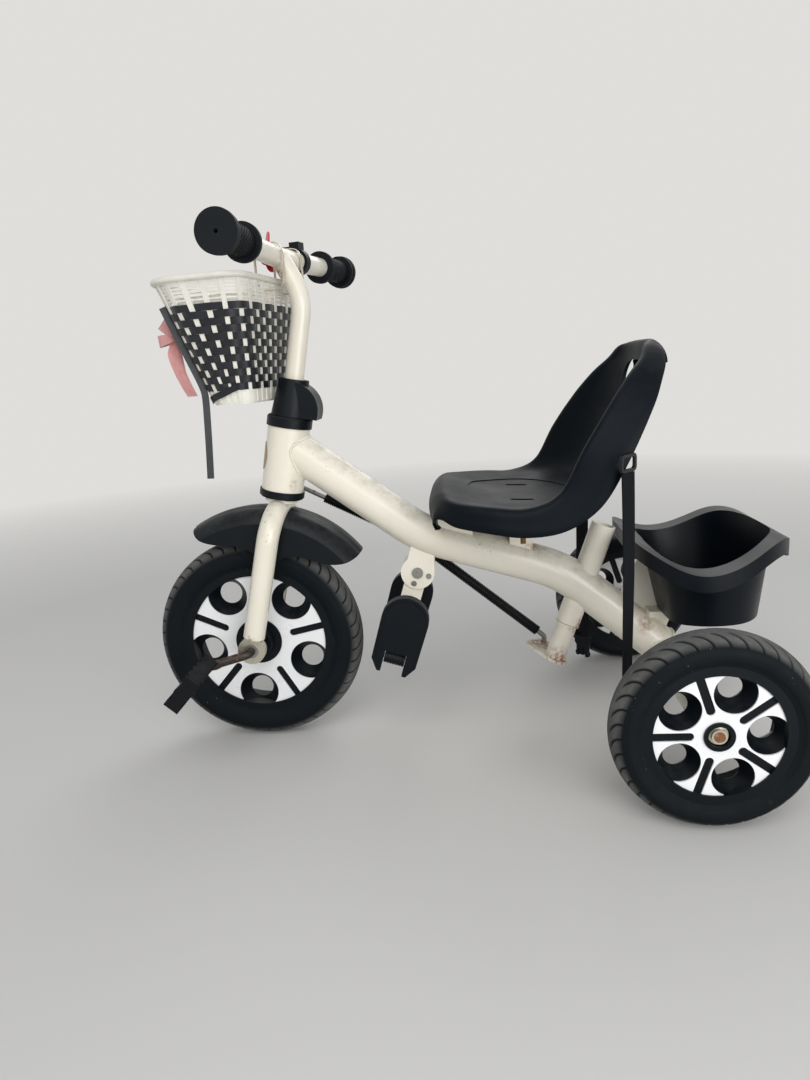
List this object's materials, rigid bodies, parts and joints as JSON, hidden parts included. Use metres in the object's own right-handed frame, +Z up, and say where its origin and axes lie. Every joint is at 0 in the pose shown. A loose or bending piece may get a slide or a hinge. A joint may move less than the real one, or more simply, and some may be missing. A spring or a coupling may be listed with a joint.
{
  "type": "children's tricycle",
  "caption": "Child's pedal tricycle with a bucket seat, basket, rear bin, folding foot rest and a push-bar socket linked to the front fork.",
  "frame": {"origin": "on the floor, under the middle of the tricycle's length and width", "axes": "+X from the front wheel to the rear, +Y to the rider's right, +Z up"},
  "size_m": [0.733, 0.4608, 0.6009],
  "materials": {
    "frame_paint": "gloss, worn",
    "head_cups": "satin",
    "axle_steel": "rusty",
    "fasteners": "rusty",
    "seat": "satin, fine grain",
    "bin": "satin",
    "strap": "woven webbing",
    "ring": "bright",
    "fork_end": "zinc plated",
    "fender": "satin",
    "grip": "matte",
    "basket": "woven strips",
    "tie": "clear",
    "ribbon": "ribbon",
    "pinwheel": "gloss",
    "tyre": "dusty",
    "wheel": "satin",
    "star": "silver",
    "crank": "plated",
    "pedal": "matte",
    "sleeve": "ribbed",
    "foot_rest": "satin"
  },
  "bodies": {
    "frame": {"main_tube": "frame_paint", "head_tube": "frame_paint", "head_cups": "head_cups", "push_socket_tube": "frame_paint", "rear_axle_tube": "frame_paint", "rear_axle": "axle_steel", "rear_washers": "axle_steel", "rear_nuts": "axle_steel", "seat": "seat", "seat_risers": "frame_paint", "seat_bolts": "fasteners", "rest_bracket": "frame_paint", "rest_pins": "fasteners", "rear_bin": "bin", "bin_bracket": "frame_paint", "bin_screws": "fasteners", "belt_strap_left": "strap", "belt_strap_right": "strap", "belt_rings": "ring", "belt_tongues": "foot_rest"},
    "fork": {"steerer_tube": "frame_paint", "fork_leg_left": "frame_paint", "fork_leg_right": "frame_paint", "fork_ends": "fork_end", "fork_bushes": "axle_steel", "fender": "fender", "fender_bolt": "fasteners", "stem_collar": "fasteners", "stem_cowl": "head_cups", "steering_arm": "frame_paint"},
    "bars": {"stem": "frame_paint", "handlebar": "frame_paint", "grip_left": "grip", "grip_right": "grip", "basket": "basket", "basket_ties": "tie", "ribbon_bow": "ribbon", "basket_strip": "strap", "ornament_clamp": "head_cups"},
    "pinwheel": {"pinwheel": "pinwheel"},
    "front_wheel": {"front_tyre": "tyre", "front_wheel_body": "wheel", "front_star_covers": "star", "crank": "crank"},
    "pedal_left": {"pedal_left": "pedal"},
    "pedal_right": {"pedal_right": "pedal"},
    "rear_wheel_left": {"rear_tyre_left": "tyre", "rear_wheel_body_left": "wheel", "rear_star_covers_left": "star"},
    "rear_wheel_right": {"rear_tyre_right": "tyre", "rear_wheel_body_right": "wheel", "rear_star_covers_right": "star"},
    "push_socket": {"push_socket_core": "frame_paint"},
    "link": {"link_rod": "axle_steel", "link_sleeve": "sleeve"},
    "foot_rest": {"rest_arm": "frame_paint", "pad_pins": "axle_steel"},
    "foot_pad_left": {"foot_pad_left": "foot_rest"},
    "foot_pad_right": {"foot_pad_right": "foot_rest"}
  },
  "joints": [
    {"name": "steering", "type": "hinge", "parent": "frame", "child": "fork", "pos_m": [-0.19813, 0, 0.306], "axis": [0.2028, 0, 0.9792], "range_deg": [-28, 28]},
    {"name": "bar_clamp_turn", "type": "hinge", "parent": "fork", "child": "bars", "pos_m": [-0.17785, 0, 0.40392], "axis": [0.2028, 0, 0.9792], "range_deg": [-20, 37]},
    {"name": "pinwheel_spin", "type": "hinge", "parent": "bars", "child": "pinwheel", "pos_m": [-0.20131, 0.05914, 0.57778], "axis": [0.9887, -0.1498, 0.0023], "continuous": true},
    {"name": "front_wheel_spin", "type": "hinge", "parent": "fork", "child": "front_wheel", "pos_m": [-0.2415, 0, 0.125], "axis": [0, 1, 0], "continuous": true},
    {"name": "pedal_left_spin", "type": "hinge", "parent": "front_wheel", "child": "pedal_left", "pos_m": [-0.29236, -0.114, 0.11419], "axis": [0, 1, 0], "continuous": true},
    {"name": "pedal_right_spin", "type": "hinge", "parent": "front_wheel", "child": "pedal_right", "pos_m": [-0.19064, 0.114, 0.13581], "axis": [0, 1, 0], "continuous": true},
    {"name": "rear_wheel_left_spin", "type": "hinge", "parent": "frame", "child": "rear_wheel_left", "pos_m": [0.2345, -0.2075, 0.096], "axis": [0, 1, 0], "continuous": true},
    {"name": "rear_wheel_right_spin", "type": "hinge", "parent": "frame", "child": "rear_wheel_right", "pos_m": [0.2345, 0.2075, 0.096], "axis": [0, 1, 0], "continuous": true},
    {"name": "push_socket_turn", "type": "hinge", "parent": "frame", "child": "push_socket", "pos_m": [0.1295, 0, 0.13], "axis": [0.342, 0, 0.9397], "range_deg": [-28, 28]},
    {"name": "link_pivot", "type": "hinge", "parent": "fork", "child": "link", "pos_m": [-0.21027, 0.04, 0.29667], "axis": [0.2028, 0, 0.9792], "range_deg": [-28, 28]},
    {"name": "foot_rest_swing", "type": "hinge", "parent": "frame", "child": "foot_rest", "pos_m": [-0.0445, 0, 0.201], "axis": [0, -1, 0], "range_deg": [0, 50]},
    {"name": "foot_pad_left_fold", "type": "hinge", "parent": "foot_rest", "child": "foot_pad_left", "pos_m": [-0.07345, -0.0555, 0.11294], "axis": [0.95, 0, -0.3123], "range_deg": [0, 90]},
    {"name": "foot_pad_right_fold", "type": "hinge", "parent": "foot_rest", "child": "foot_pad_right", "pos_m": [-0.07345, 0.0555, 0.11294], "axis": [-0.95, 0, 0.3123], "range_deg": [0, 90]}
  ],
  "couplings": [
    {"joint": "push_socket_turn", "follows": "steering", "ratio": 1},
    {"joint": "link_pivot", "follows": "steering", "ratio": -1}
  ]
}
